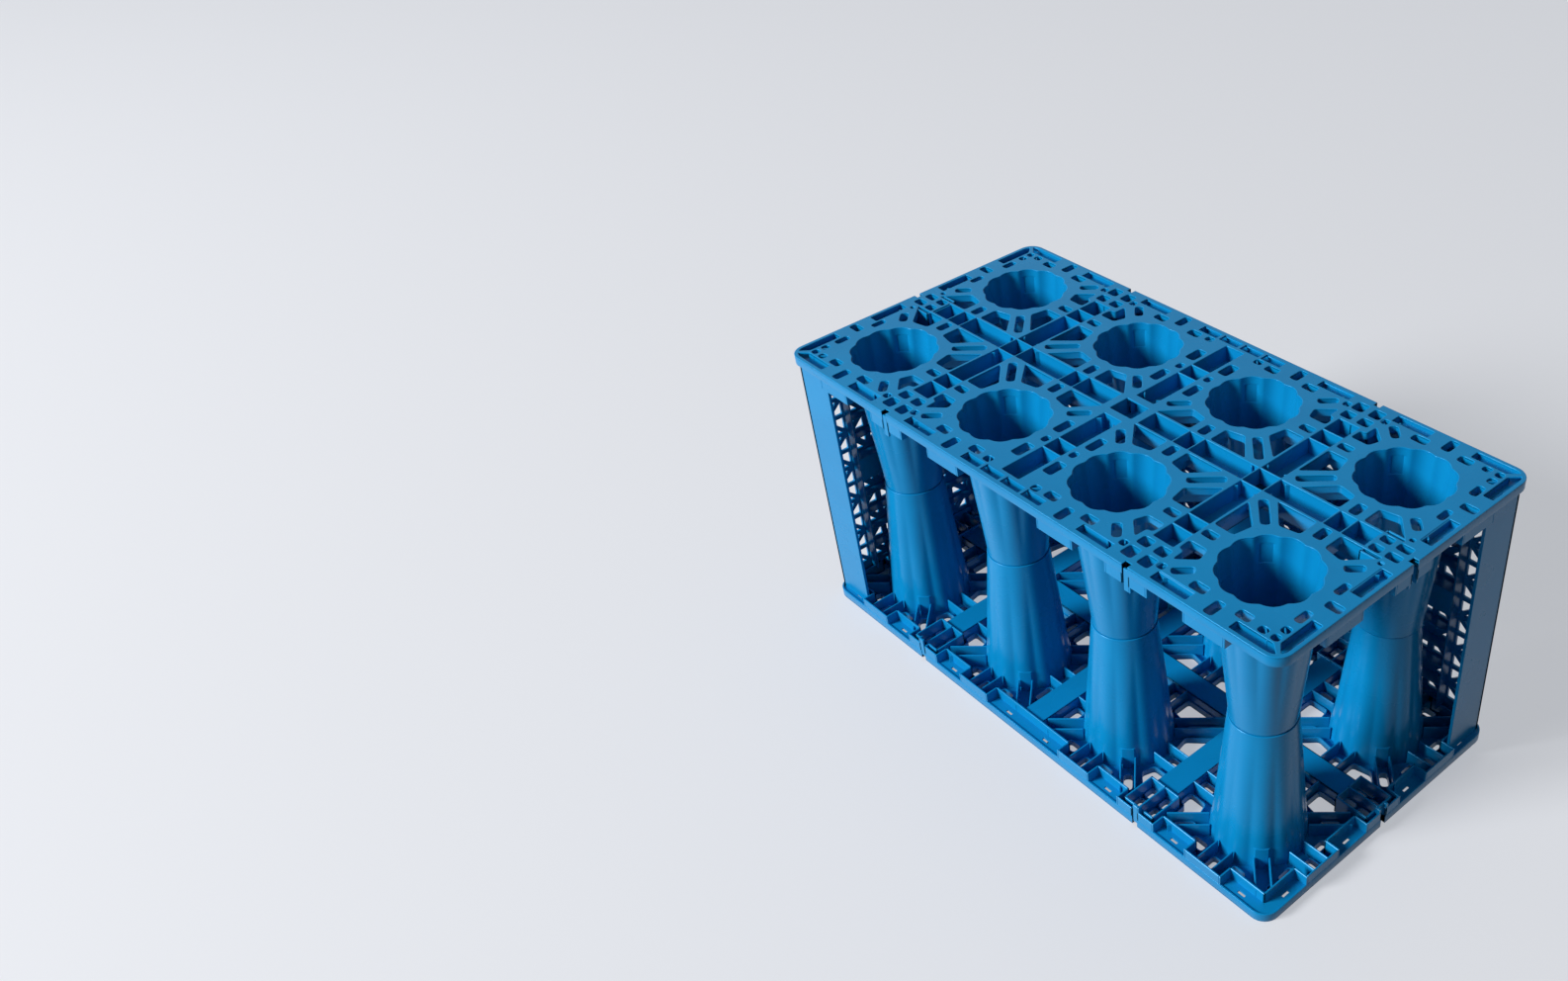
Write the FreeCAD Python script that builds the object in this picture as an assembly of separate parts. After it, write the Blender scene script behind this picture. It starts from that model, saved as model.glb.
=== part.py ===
import FreeCAD, Part
import math
import os

# Soakaway crate: a hollow stormwater module of two equal mouldings.
# Each moulding is a perforated deck with eight hollow tapered columns.
# The lower one stands on its deck, the upper one is the same moulding
# turned over, and the columns plug into each other at mid height.
# Braced side panels close one end and one long side.
# Origin: middle of the underside. X is the long way, Z is up.

V = FreeCAD.Vector

# Module
length = 1200.0
width = 600.0
height = 580.0
corner_radius = 30.0
corner_facets = 3

# Deck
skin = 4.0
wall = 3.5
rib = 3.0
rib_depth = 30.0
wall_depth = 38.0

# Columns
column_pitch = 318.0
column_sides = 12
column_base_radius = 85.0
column_wall = 3.0
socket_radius = 58.0
neck_radius = 57.0
neck_wall = 5.0
rib_root = 76.0
spigot_length = 14.0
spigot_clearance = 0.4

# Edge pockets that take the side panels
rim_width = 6.0
ledge_width = 26.0
ledge_depth = 16.0
ledge_floor = 3.0
segment_width = 76.0
middle_webs = 2

# Notches in the edges, with two open cells behind each
notch_zone = 84.0
notch_width = 12.0
notch_depth = 10.0
notch_box_width = 70.0
notch_box_depth = 78.0

# Channels that are open to the outer face
channel_width = 42.0
channel_floor = 3.0
channel_wall = 3.0
cross_wall_offset = 17.5
short_channel_start = 38.0
short_channel_end = 34.0
middle_cell = 52.0
middle_strip = 17.0

# Openings in the deck skin
slot_width = 17.0
slot_length = 30.0
opening_radius = 103.0
diagonal_slot_width = 16.0
diagonal_bar = 17.0
diagonal_slot_margin = 8.0

# Side panels
panel_inset = 12.0
panel_plate = 6.0
panel_flange = 60.0
panel_gap = 0.5
panel_rail = 34.0
panel_post = 30.0
panel_mid_rail = 52.0
panel_brace = 12.0
panel_bays = 3

# Room that a cutting tool runs past a face
past = 1.0

half_length = length / 2
half_width = width / 2
half_height = height / 2
square_x = length / 4
column_x = [square_x - column_pitch / 2, square_x + column_pitch / 2]
column_y = column_pitch / 2
half_channel = channel_width / 2
half_slot = slot_width / 2
pocket_depth = ledge_width + wall
rib_edge = half_slot + diagonal_bar


def face(points):
    corners = [V(x, y, 0) for x, y in points]
    return Part.Face(Part.makePolygon(corners + corners[:1]))


def rect(x0, y0, x1, y1):
    return face([(x0, y0), (x1, y0), (x1, y1), (x0, y1)])


def join(faces):
    return faces[0].multiFuse(faces[1:])


def raised(faces, z0, z1):
    out = []
    for one in faces:
        flat = one.copy()
        flat.translate(V(0, 0, z0))
        out.append(flat.extrude(V(0, 0, z1 - z0)))
    return out


def rounded(half_x, half_y, radius):
    """Rectangle with corners of a few equal facets."""
    points = []
    for quarter, (side_x, side_y) in enumerate(((1, 1), (-1, 1), (-1, -1), (1, -1))):
        for k in range(corner_facets + 1):
            angle = (quarter + k / corner_facets) * math.pi / 2
            x = side_x * (half_x - radius) + radius * math.cos(angle)
            y = side_y * (half_y - radius) + radius * math.sin(angle)
            points.append((x, y))
    return face(points)


def quadrants(faces):
    across = [f.mirror(V(0, 0, 0), V(1, 0, 0)) for f in faces]
    both = faces + across
    return both + [f.mirror(V(0, 0, 0), V(0, 1, 0)) for f in both]


def turned_copies(faces):
    """The -Y and +X edges are drawn, the opposite ones are the same turned half round."""
    out = list(faces)
    for one in faces:
        other = one.copy()
        other.rotate(V(0, 0, 0), V(0, 0, 1), 180)
        out.append(other)
    return out


# The deck round one column. Direction a points to the channel through the
# middle of its square, direction b to the channel along the module.
class Surround:
    def __init__(self, x):
        self.x = x
        self.toward = 1 if x < square_x else -1
        self.reach = column_pitch / 2 - half_channel
        self.far = self.reach - channel_wall
        self.edge_b = half_width - column_y - wall
        if x < square_x:
            self.edge_a = x - half_channel - channel_wall
        else:
            self.edge_a = half_length - x - wall

    def place(self, a0, b0, a1, b1):
        return self.outline([(a0, b0), (a1, b0), (a1, b1), (a0, b1)])

    def outline(self, points):
        return face([(self.x + self.toward * a, b - column_y) for a, b in points])

    def window(self, side_a, side_b, along_b):
        """Four-sided opening between a straight bar and a diagonal bar."""
        lean = (diagonal_slot_width / 2 + diagonal_bar) * math.sqrt(2)
        low = (math.sqrt(2 * opening_radius ** 2 - lean ** 2) - lean) / 2
        near = math.sqrt(opening_radius ** 2 - rib_edge ** 2)
        points = [(rib_edge, self.far), (self.far - lean, self.far), (low, low + lean), (rib_edge, near)]
        if not along_b:
            points = [(q, p) for p, q in points]
        return self.outline([(side_a * p, side_b * q) for p, q in points])

    def diagonal_slot(self):
        start = opening_radius + rib
        end = (self.far - diagonal_slot_margin) * math.sqrt(2)
        half = diagonal_slot_width / 2
        corners = ((start, -half), (end, -half), (end, half), (start, half))
        return self.outline([((r - s) / math.sqrt(2), (r + s) / math.sqrt(2)) for r, s in corners])

    def openings(self):
        near = self.far - slot_length
        out = [self.place(near, -half_slot, self.far, half_slot)]
        out.append(self.place(-half_slot, near, half_slot, self.far))
        out += [self.window(1, 1, True), self.window(-1, 1, True)]
        out += [self.window(1, 1, False), self.window(1, -1, False)]
        out.append(self.diagonal_slot())
        return out

    def ribs(self):
        """Pairs of ribs from the column to the channels, and to the outer walls."""
        inner = []
        outer = []
        for side in (-1, 1):
            low = side * rib_edge
            high = side * (rib_edge - rib)
            inner.append(self.place(rib_root, low, self.reach, high))
            inner.append(self.place(low, rib_root, high, self.reach))
            outer.append(self.place(low, -self.edge_b, high, -rib_root))
            back = self.place(-self.edge_a, low, -rib_root, high)
            if self.toward > 0:
                inner.append(back)
            else:
                outer.append(back)
        return inner, outer


surrounds = [Surround(x) for x in column_x]


def edge_rect(along, u0, u1, d0, d1):
    """Rectangle from u0 to u1 along an edge, d0 to d1 in from it (-Y or +X edge)."""
    if along == "long":
        return rect(u0, -half_width + d0, u1, -half_width + d1)
    return rect(half_length - d1, u0, half_length - d0, u1)


def blocked_runs(centres, notch_places):
    """Stretches of an edge where the outer wall has its full depth."""
    runs = [(c - segment_width / 2, c + segment_width / 2) for c in centres]
    runs += [(n - notch_zone / 2, n + notch_zone / 2) for n in notch_places]
    return sorted(runs)


def pockets_between(runs, reach):
    ends = [-reach] + [b for _, b in runs]
    starts = [a for a, _ in runs] + [reach]
    return list(zip(ends, starts))


long_centres = [side * x for side in (-1, 1) for x in column_x]
notches = {"long": [-square_x, square_x], "short": [0.0]}
blocked = {"long": blocked_runs(long_centres, notches["long"])}
blocked["short"] = blocked_runs([-column_y, column_y], notches["short"])
pockets = {"long": pockets_between(blocked["long"], half_length)}
pockets["short"] = pockets_between(blocked["short"], half_width)


def corner_tray(along):
    """Last tray of an edge, which follows the rounded corner up to a diagonal web."""
    end = half_length if along == "long" else half_width
    start = pockets[along][-1][0] + wall
    bend = end - corner_radius
    turn = math.pi / 2 / corner_facets
    reach = corner_radius - rim_width
    points = [(start, ledge_width), (start, rim_width), (bend, rim_width)]
    points.append((bend + reach * math.sin(turn), corner_radius - reach * math.cos(turn)))
    points.append((end - pocket_depth, ledge_width))
    if along == "long":
        return face([(u, -half_width + d) for u, d in points])
    return face([(half_length - d, -u) for u, d in points])


def trays():
    out = []
    for along in ("long", "short"):
        for u0, u1 in pockets[along][1:-1]:
            cells = middle_webs + 1 if u0 < 0 < u1 else 1
            pitch = (u1 - u0 - wall) / cells
            for k in range(cells):
                low = u0 + wall + k * pitch
                out.append(edge_rect(along, low, low + pitch - wall, rim_width, ledge_width))
        out.append(corner_tray(along))
    return out


def channel_cells():
    """Cells of the channels in one quarter of the deck, copied to all four."""
    cells = []
    half = channel_wall / 2
    crossings = [(-1, column_y - cross_wall_offset), (1, column_y - cross_wall_offset)]
    crossings += [(-1, column_y + cross_wall_offset), (1, column_y + cross_wall_offset)]
    stops = [y + side * half for side, y in crossings]
    end = half_width - notch_box_depth
    ends = [half_channel + channel_wall] + stops + [end]
    for y0, y1 in zip(ends[::2], ends[1::2]):
        cells.append(rect(square_x - half_channel, -y1, square_x + half_channel, -y0))
    ends = [short_channel_start] + stops + [half_width - short_channel_end]
    for y0, y1 in zip(ends[::2], ends[1::2]):
        cells.append(rect(0, -y1, half_channel, -y0))
    webs = [middle_cell / 2 + middle_strip - half]
    for x in column_x:
        webs += [x - cross_wall_offset, x + cross_wall_offset]
    webs += [square_x - half_channel - half, square_x + half_channel + half]
    webs.append(half_length - notch_box_depth + half)
    webs.sort()
    for x0, x1 in zip(webs, webs[1:]):
        cells.append(rect(x0 + half, -half_channel, x1 - half, 0))
    cells.append(rect(0, -half_channel, middle_cell / 2, 0))
    return quadrants(cells)


def channel_areas():
    end_x = half_length - notch_box_depth
    end_y = half_width - notch_box_depth
    edge = half_channel + channel_wall
    areas = [rect(-end_x, -edge, end_x, edge)]
    for x in (-square_x, square_x):
        areas.append(rect(x - edge, -end_y, x + edge, end_y))
    end = half_width - short_channel_end + channel_wall
    areas.append(rect(-edge, -end, edge, end))
    return areas


def notch_walls(along, centre):
    """Walls of the two cells behind an edge notch."""
    half = notch_box_width / 2
    out = []
    for u in (centre - half, centre - wall / 2, centre + half - wall):
        out.append(edge_rect(along, u, u + wall, wall, notch_box_depth))
    for d in (notch_depth, notch_box_depth - wall):
        out.append(edge_rect(along, centre - half, centre + half, d, d + wall))
    return out


def notch_cells(along, centre):
    near = notch_depth + wall
    far = notch_box_depth - wall
    start = wall / 2
    reach = notch_box_width / 2 - wall
    out = [edge_rect(along, centre + start, centre + reach, near, far)]
    out.append(edge_rect(along, centre - reach, centre - start, near, far))
    return out


def pocket_walls():
    out = []
    for along in ("long", "short"):
        last = len(pockets[along]) - 1
        for k, (u0, u1) in enumerate(pockets[along]):
            start = u0 + ledge_width if k == 0 else u0
            end = u1 - ledge_width if k == last else u1
            out.append(edge_rect(along, start, end, ledge_width, pocket_depth))
            if k > 0:
                out.append(edge_rect(along, u0, u0 + wall, 0, pocket_depth))
            if k < last:
                out.append(edge_rect(along, u1 - wall, u1, 0, pocket_depth))
        out += [edge_rect(along, u0, u1, 0, wall) for u0, u1 in blocked[along]]
    return out


def frustum(x, y, z0, r0, z1, r1):
    """Tapered prism with flat sides."""
    rings = []
    for z, r in ((z0, r0), (z1, r1)):
        turns = [k * 2 * math.pi / column_sides for k in range(column_sides)]
        rings.append([V(x + r * math.cos(t), y + r * math.sin(t), z) for t in turns])
    lower, upper = rings
    faces = [Part.Face(Part.makePolygon(ring + ring[:1])) for ring in rings]
    for k in range(column_sides):
        n = (k + 1) % column_sides
        side = [lower[k], lower[n], upper[n], upper[k], lower[k]]
        faces.append(Part.Face(Part.makePolygon(side)))
    return Part.makeSolid(Part.makeShell(faces))


def column(x, y):
    """Outside solids and bore of one column: a socket in front, a spigot behind."""
    inner_base = column_base_radius - column_wall
    if y < 0:
        outside = [frustum(x, y, 0, column_base_radius, half_height, socket_radius)]
        slope = (socket_radius - column_base_radius) / half_height
        end = half_height
    else:
        outside = [frustum(x, y, 0, column_base_radius, half_height, neck_radius)]
        spigot_radius = socket_radius - column_wall - spigot_clearance
        end = half_height + spigot_length
        outside.append(frustum(x, y, half_height - past, spigot_radius, end, spigot_radius))
        slope = (neck_radius - neck_wall - inner_base) / half_height
    bore = frustum(x, y, -past, inner_base - slope * past, end + past, inner_base + slope * (end + past))
    return outside, bore


def deck_plate():
    cuts = channel_cells()
    for one in surrounds:
        cuts += quadrants(one.openings())
    behind = [cell for along in notches for n in notches[along] for cell in notch_cells(along, n)]
    cuts += turned_copies(behind)
    return rounded(half_length, half_width, corner_radius).cut(cuts)


def moulding():
    """One moulding, outer face down on z = 0."""
    inner_ribs = []
    high = pocket_walls()
    gaps = []
    for along in notches:
        for n in notches[along]:
            high += notch_walls(along, n)
            gaps.append(edge_rect(along, n - notch_width / 2, n + notch_width / 2, -past, notch_depth))
    high = turned_copies(high)
    for one in surrounds:
        inner, outer = one.ribs()
        inner_ribs += quadrants(inner)
        high += quadrants(outer)
    areas = join(channel_areas())
    frame = areas.cut(channel_cells())
    ledges = [edge_rect(along, u0, u1, 0, pocket_depth) for along in pockets for u0, u1 in pockets[along]]
    ledges = join(turned_copies(ledges)).common(rounded(half_length, half_width, corner_radius))
    pieces = raised(deck_plate().Faces, 0, skin)
    pieces += raised(join(high).Faces, 0, wall_depth)
    pieces += raised(join(inner_ribs + frame.Faces).Faces, skin / 2, rib_depth)
    pieces += raised(areas.Faces, rib_depth - channel_floor, rib_depth)
    pieces += raised(ledges.Faces, 0, ledge_depth)
    cuts = raised(turned_copies(gaps), -past, wall_depth + past)
    cuts += raised(turned_copies(trays()), -past, ledge_depth - ledge_floor)
    for x in long_centres:
        for y in (-column_y, column_y):
            outside, bore = column(x, y)
            pieces += outside
            cuts.append(bore)
    body = pieces[0].multiFuse(pieces[1:]).cut(cuts)
    return body.removeSplitter()


def legs(along, u0, u1):
    """Stretches of a panel from u0 to u1 that stand in the edge pockets."""
    out = []
    for start, end in pockets[along]:
        low = max(start + wall + panel_gap, u0)
        high = min(end - wall - panel_gap, u1)
        if low < high:
            out.append((low, high))
    return out


def panel_outline(along, u0, u1):
    foot = ledge_depth
    lift = wall_depth + panel_gap
    edge = []
    for low, high in legs(along, u0, u1):
        if low > u0:
            edge.append((low, lift))
        edge += [(low, foot), (high, foot)]
        if high < u1:
            edge.append((high, lift))
    return face(edge + [(u, height - z) for u, z in reversed(edge)])


def braced_bay(x0, z0, x1, z1, rising):
    """Two triangular openings on either side of a diagonal brace."""
    run = x1 - x0
    rise = z1 - z0
    slant = math.hypot(run, rise) * panel_brace / 2
    flat = slant / rise
    steep = slant / run
    lower = [(x0 + flat, z0), (x1, z0), (x1, z1 - steep)]
    upper = [(x0, z0 + steep), (x1 - flat, z1), (x0, z1)]
    if not rising:
        lower = [(x0 + x1 - x, z) for x, z in lower]
        upper = [(x0 + x1 - x, z) for x, z in upper]
    return [face(lower), face(upper)]


def panel(along, reach, u0, u1, flange_at):
    """Side panel drawn on the -Y side, reach away from the middle, with one flange."""
    openings = []
    pitch = (u1 - u0 - panel_post) / panel_bays
    bottom = wall_depth + panel_gap + panel_rail
    middle = half_height - panel_mid_rail / 2
    for k in range(panel_bays):
        x0 = u0 + panel_post + k * pitch
        x1 = x0 + pitch - panel_post
        openings += braced_bay(x0, bottom, x1, middle, k % 2 == 0)
        openings += braced_bay(x0, height - middle, x1, height - bottom, k % 2 == 1)
    plate = panel_outline(along, u0, u1).cut(openings)
    plate.rotate(V(0, 0, 0), V(1, 0, 0), 90)
    plate.translate(V(0, panel_inset - reach, 0))
    body = [one.extrude(V(0, panel_plate, 0)) for one in plate.Faces]
    side = flange_at if flange_at == u0 else flange_at - panel_plate
    corner = V(side, panel_inset - reach, ledge_depth)
    flange = Part.makeBox(panel_plate, panel_flange, height - 2 * ledge_depth, corner)
    return body[0].fuse(flange).removeSplitter()


def turned(shape, axis, angle, centre=V(0, 0, 0)):
    copy = shape.copy()
    copy.rotate(centre, axis, angle)
    return copy


upright = V(0, 0, 1)
lower_half = moulding()
upper_half = turned(lower_half, V(1, 0, 0), 180, V(0, 0, half_height))

# The end panel reaches both corners, and the back panels fit between it and the far end.
end_reach = half_width - panel_inset
back_end = half_length - panel_inset
inside_end = back_end - panel_plate - panel_gap
meeting = panel_gap / 2
end_panel = panel("short", half_length, -end_reach, end_reach, end_reach)
end_panel = turned(end_panel, upright, -90)
back_left = turned(panel("long", half_width, meeting, inside_end, inside_end), upright, 180)
back_right = turned(panel("long", half_width, -back_end, -meeting, -back_end), upright, 180)

pieces = {"lower_half": lower_half, "upper_half": upper_half, "end_panel": end_panel}
pieces.update({"back_panel_left": back_left, "back_panel_right": back_right})

os.makedirs("parts", exist_ok=True)
for name, shape in pieces.items():
    print(name, "solids", len(shape.Solids), "valid", shape.isValid(), "cm3", round(shape.Volume / 1000))
    shape.exportStep("parts/" + name + ".step")
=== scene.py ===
import math

import bmesh
import bpy
from mathutils import Matrix, Vector


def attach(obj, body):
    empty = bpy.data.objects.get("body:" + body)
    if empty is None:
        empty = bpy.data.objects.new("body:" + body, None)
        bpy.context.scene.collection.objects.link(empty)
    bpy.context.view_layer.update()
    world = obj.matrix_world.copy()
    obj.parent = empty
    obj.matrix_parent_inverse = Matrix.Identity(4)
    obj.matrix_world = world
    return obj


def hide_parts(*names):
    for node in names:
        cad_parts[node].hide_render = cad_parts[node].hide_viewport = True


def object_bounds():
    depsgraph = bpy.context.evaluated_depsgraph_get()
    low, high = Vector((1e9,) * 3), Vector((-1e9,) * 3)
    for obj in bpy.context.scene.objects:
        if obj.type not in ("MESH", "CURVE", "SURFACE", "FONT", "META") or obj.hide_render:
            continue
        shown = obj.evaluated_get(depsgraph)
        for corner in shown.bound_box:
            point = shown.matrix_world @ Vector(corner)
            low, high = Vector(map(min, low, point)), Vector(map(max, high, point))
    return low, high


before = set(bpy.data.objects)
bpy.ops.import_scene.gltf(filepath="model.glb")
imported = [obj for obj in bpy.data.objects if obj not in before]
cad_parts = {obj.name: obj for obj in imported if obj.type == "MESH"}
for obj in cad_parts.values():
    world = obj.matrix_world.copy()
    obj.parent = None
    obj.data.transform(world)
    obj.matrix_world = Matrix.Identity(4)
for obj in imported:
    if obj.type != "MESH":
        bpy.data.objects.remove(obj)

# A blue soakaway crate: two perforated mouldings with plugged hollow columns,
# and three braced side panels. Each deck is two squares of four columns, side by
# side along X, with channels between the columns. Lengths are in millimetres.

cad_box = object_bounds()
MM = 0.001
LENGTH, WIDTH, HEIGHT = [(high - low) / MM for low, high in zip(*cad_box)]
HALF_L = LENGTH / 2
HALF_W = WIDTH / 2
HALF_H = HEIGHT / 2

# Rounded edges
SOFT_EDGE = 1.1
WALL_EDGE = 0.7
RIM_EDGE = 0.8
LEDGE_EDGE = 0.4
PANEL_EDGE = 0.6
BEVEL_STEPS = 2
ROUND_STEPS = 3
ROUND_SHARE = 0.45
SHARP_ANGLE = math.radians(32)

# Deck
SKIN = 4.0
IN_SKIN = SKIN / 2
WALL = 3.5
WALL_START = 1.0
WALL_DEPTH = 38.0
RIB = 3.0
RIB_DEPTH = 33.0
RIB_OFFSET = 17
DIAGONAL_RIB_OFFSET = 13
RIB_OVERLAP = 1.6
CORNER_RADIUS = 30.0
CORNER_STEPS = 8
COLLAR = 1.8
COLLAR_DEPTH = 14.0

# Columns
PITCH = 318.0
BASE_RADIUS = 85.0
SOCKET_RADIUS = 58.0
NECK_RADIUS = 56.2
COLUMN_WALL = 3.0
COLUMN_START = 3.0
COLUMN_STEPS = 6
MOUTH_GAP = 0.3
SPIGOT_LENGTH = 14.0
SPIGOT_CLEARANCE = 0.5
SPIGOT_THICKER = 1.2
SOCKET_CHAMFER = 0.8
SEAM_GROOVE = 2.2
FLUTES = 12
FLUTE_DEPTH = 4.8
CUSP = 0.12
TURNS = 144
TAB_HALF_ANGLE = math.radians(8)
TAB_DEPTH = 5.0
TAB_START = 14.0
TAB_END = 50.0
TAB_SLOPE = 0.5

# Edges of the deck, with their pockets and notches
EDGE_STEP = 0.4
LEDGE_WIDTH = 26.0
LEDGE_DEPTH = 16.0
LEDGE_FLOOR = 3.0
LEDGE_TURNS = (11.25, 22.5, 33.75, 45)
LEDGE_SLOT_LENGTH = 15.0
LEDGE_SLOT_START = 12
LEDGE_SLOT_END = 17
LEDGE_SLOT_ROUND = 1
RIM_START = 1.5
RIM_PAST_LEDGE = 2.5
TRAY_START = 7.5
TRAY_END = LEDGE_WIDTH + 2
TRAY_ROUND = 2.5
TRAY_TURNS = (12, 24, 36)
SEGMENT = 76.0
NOTCH_ZONE = 84.0
NOTCH_WIDTH = 12.0
NOTCH_DEPTH = 10.0
NOTCH_BOX = 70.0
NOTCH_BOX_DEPTH = 78.0

# Holes behind a notch: their rows inward from the edge, and their sides along it
NOTCH_HOLE_ROWS = [(18, 43), (52, 73)]
NOTCH_HOLE_SIDES = {"long": (6, 29), "short": (5, 22)}
NOTCH_HOLE_ROUND = 5

# Clips at a notch: the edge, along it from the notch, inward from it, and height
CLIPS = [
    ("long", (-4, 7), (1, 5), (8, 50)),
    ("long", (7, 10), (1, 10), (8, 50)),
    ("long", (-16, -6), (1, 6), (16, 32)),
    ("short", (7, 12), (1, 7), (16, 46)),
    ("short", (-12, 12), (7, 10), (16, 46)),
]

# Channels
CHANNEL = 42.0
CHANNEL_WALL = 3.0
CHANNEL_FLOOR = 3.0
FLOOR_STEP = 0.4
CROSS_OFFSET = 17.5
CROSS_DEPTH = RIB_DEPTH - 1
CELL_ROUND = 2
CENTRE_CELL = 26
LONG_CELLS = 43
MIDDLE_CELLS = 38
MIDDLE_MARGIN = 31

# Openings of the deck round a column, in the column's own a and b
WINDOW = [(24, 133), (101, 133), (59, 87), (24, 94)]
STEPPED_WINDOW = [(97, -30), (132, -30), (131, -54), (120, -56), (119, -80), (89, -54)]
STRAIGHT_OPENINGS = [(105, -8.5, 132, 8.5), (-8.5, 102, 8.5, 132), (-8.5, -134, 8.5, -101)]
INNER_OPENINGS = [
    (112, -110, 126, -96), (-113, -8.5, -100, 8.5), (-110, 26, -92, 64), (-112, -65, -91, -28),
    (26, -109, 54, -91), (-60, -109, -33, -91), (-90, -111, -73, -96),
]
OUTER_OPENINGS = [
    (112, -110, 126, -96), (-134, -8.5, -106, 8.5), (-109, 24, -96, 53), (-109, -60, -95, -31),
    (31, -109, 61, -91), (-55, -109, -29, -92), (-88, -111, -72, -97), (-110, -90, -96, -75),
    (-110, -111, -96, -97), (-110, 117, -101, 126),
]
OPENING_ROUND = 5.5

# Diagonal slots as (side of a, side of b, start, end), and where the diagonal ribs end
INNER_SLOTS = [(1, 1, 107, 171), (1, -1, 108, 144), (-1, 1, 106, 148)]
OUTER_SLOTS = [(1, 1, 107, 171), (1, -1, 108, 144), (-1, 1, 106, 138)]
INNER_RIB_ENDS = {(1, 1): 188, (1, -1): 156, (-1, 1): 166, (-1, -1): 150}
OUTER_RIB_ENDS = {(1, 1): 188, (1, -1): 156, (-1, 1): 156, (-1, -1): 150}
SLOT_WIDTH = 16
SLOT_ROUND = 7.5

# Side panels
INSET = 12.0
FIT = 0.5
MIDDLE_GAP = 0.3
FLANGE_GAP = 1.6
PANEL_PLATE = 6.0
PANEL_HOLE_ROUND = 2
FLANGE = 87.0
HIDDEN_FLANGE = 60.0
MID_RAIL = 52.0
TOP_RAIL = 46.0
FOOT_RAIL = 10.0
BAR = 8.5
DEEP_BAR = 13.0
NODE_STEP = 40.0
STRIP = 20.0
STRIP_SLOT_WIDTH = 8.0
STRIP_SLOT_LENGTH = 16.0
STRIP_SLOT_STEP = 27.0
BAY = 44.0

# Ribs behind the panels, which start and end a little apart so that no two faces coincide
POST_RIB = 3.0
POST_RIB_START = 0.5
CROSS_RIB = 2.4
CROSS_RIB_START = 0.6
RAIL_START = 0.7
LIP_DEPTH = 12.0
POST_DEPTH = 32.0
INNER_POST_DEPTH = 31.0
CROSS_RIB_DEPTH = 28.0
RAIL_DEPTH = 34.0
INNER_POST_DROP = 1.0
RAIL_DROP = 2.0

# Places that follow from the sizes. SQUARE_X is the middle of the +X square.
SQUARE_X = LENGTH / 4
COLUMN_X = [SQUARE_X - PITCH / 2, SQUARE_X + PITCH / 2]
COLUMN_Y = PITCH / 2
CROSS_X = [x + side for x in COLUMN_X for side in (-CROSS_OFFSET, CROSS_OFFSET)]
CROSS_Y = [COLUMN_Y - CROSS_OFFSET, COLUMN_Y + CROSS_OFFSET]
HALF_CHANNEL = CHANNEL / 2
POCKET = LEDGE_WIDTH + WALL
PANEL_LIFT = WALL_DEPTH + FIT
PANEL_BOTTOM = PANEL_LIFT + FOOT_RAIL
PANEL_TOP = HEIGHT - PANEL_BOTTOM
PANEL_BAYS = [
    (PANEL_BOTTOM, HALF_H - MID_RAIL / 2),
    (HALF_H + MID_RAIL / 2, HEIGHT - PANEL_LIFT - TOP_RAIL),
]

# The -Y long edge and the +X short edge, each from its middle to the +X -Y corner
EDGES = {
    "long": {"centres": COLUMN_X, "notch": SQUARE_X, "end": HALF_L},
    "short": {"centres": [COLUMN_Y], "notch": 0.0, "end": HALF_W},
}


# Outlines
def rect(x0, y0, x1, y1):
    return [(x0, y0), (x1, y0), (x1, y1), (x0, y1)]


def soft(points, radius):
    """Outline with each corner rounded by a short curve."""
    out = []
    count = len(points)
    for k, point in enumerate(points):
        here = Vector(point)
        before = Vector(points[k - 1])
        after = Vector(points[(k + 1) % count])
        shorter = min((before - here).length, (after - here).length)
        reach = min(radius, shorter * ROUND_SHARE)
        start = here + (before - here).normalized() * reach
        end = here + (after - here).normalized() * reach
        for step in range(ROUND_STEPS + 1):
            t = step / ROUND_STEPS
            out.append(tuple(start * (1 - t) ** 2 + here * 2 * t * (1 - t) + end * t * t))
    return out


def flipped(points, x_sign, y_sign):
    return [(x * x_sign, y * y_sign) for x, y in points]


def copies(points, in_x=True, in_y=True):
    """The outline and its mirror images, in x and in y unless told otherwise."""
    out = [points]
    if in_x:
        out.append(flipped(points, -1, 1))
    if in_y:
        out += [flipped(one, 1, -1) for one in out]
    return out


def bar(start, end, thick):
    """Outline of a straight wall between two points."""
    a = Vector(start)
    b = Vector(end)
    side = (b - a).orthogonal().normalized() * thick / 2
    return [tuple(a - side), tuple(b - side), tuple(b + side), tuple(a + side)]


def wavy(radius, depth, tab=0.0):
    """Ring of shallow lobes, with tabs that stand out at the four diagonals."""
    out = []
    for k in range(TURNS):
        angle = 2 * math.pi * k / TURNS
        lobe = math.sqrt(math.sin(FLUTES / 2 * angle) ** 2 + CUSP ** 2)
        r = radius - depth * (1 - lobe)
        off_diagonal = abs(angle % (math.pi / 2) - math.pi / 4)
        if tab and off_diagonal < TAB_HALF_ANGLE:
            r = radius - depth + tab
        out.append((r * math.cos(angle), r * math.sin(angle)))
    return out


def grown(points, gap):
    """Outline with every side moved outward, or inward where the gap is negative."""
    corners = [Vector(point) for point in points]
    turning = sum(a.cross(b) for a, b in zip(corners, corners[1:] + corners[:1]))
    side = gap if turning > 0 else -gap
    out = []
    for k, here in enumerate(corners):
        one = (here - corners[k - 1]).normalized()
        two = (corners[(k + 1) % len(corners)] - here).normalized()
        normal = Vector((one.y + two.y, -one.x - two.x))
        out.append(tuple(here + normal * side / (1 + one.dot(two))))
    return out


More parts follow.
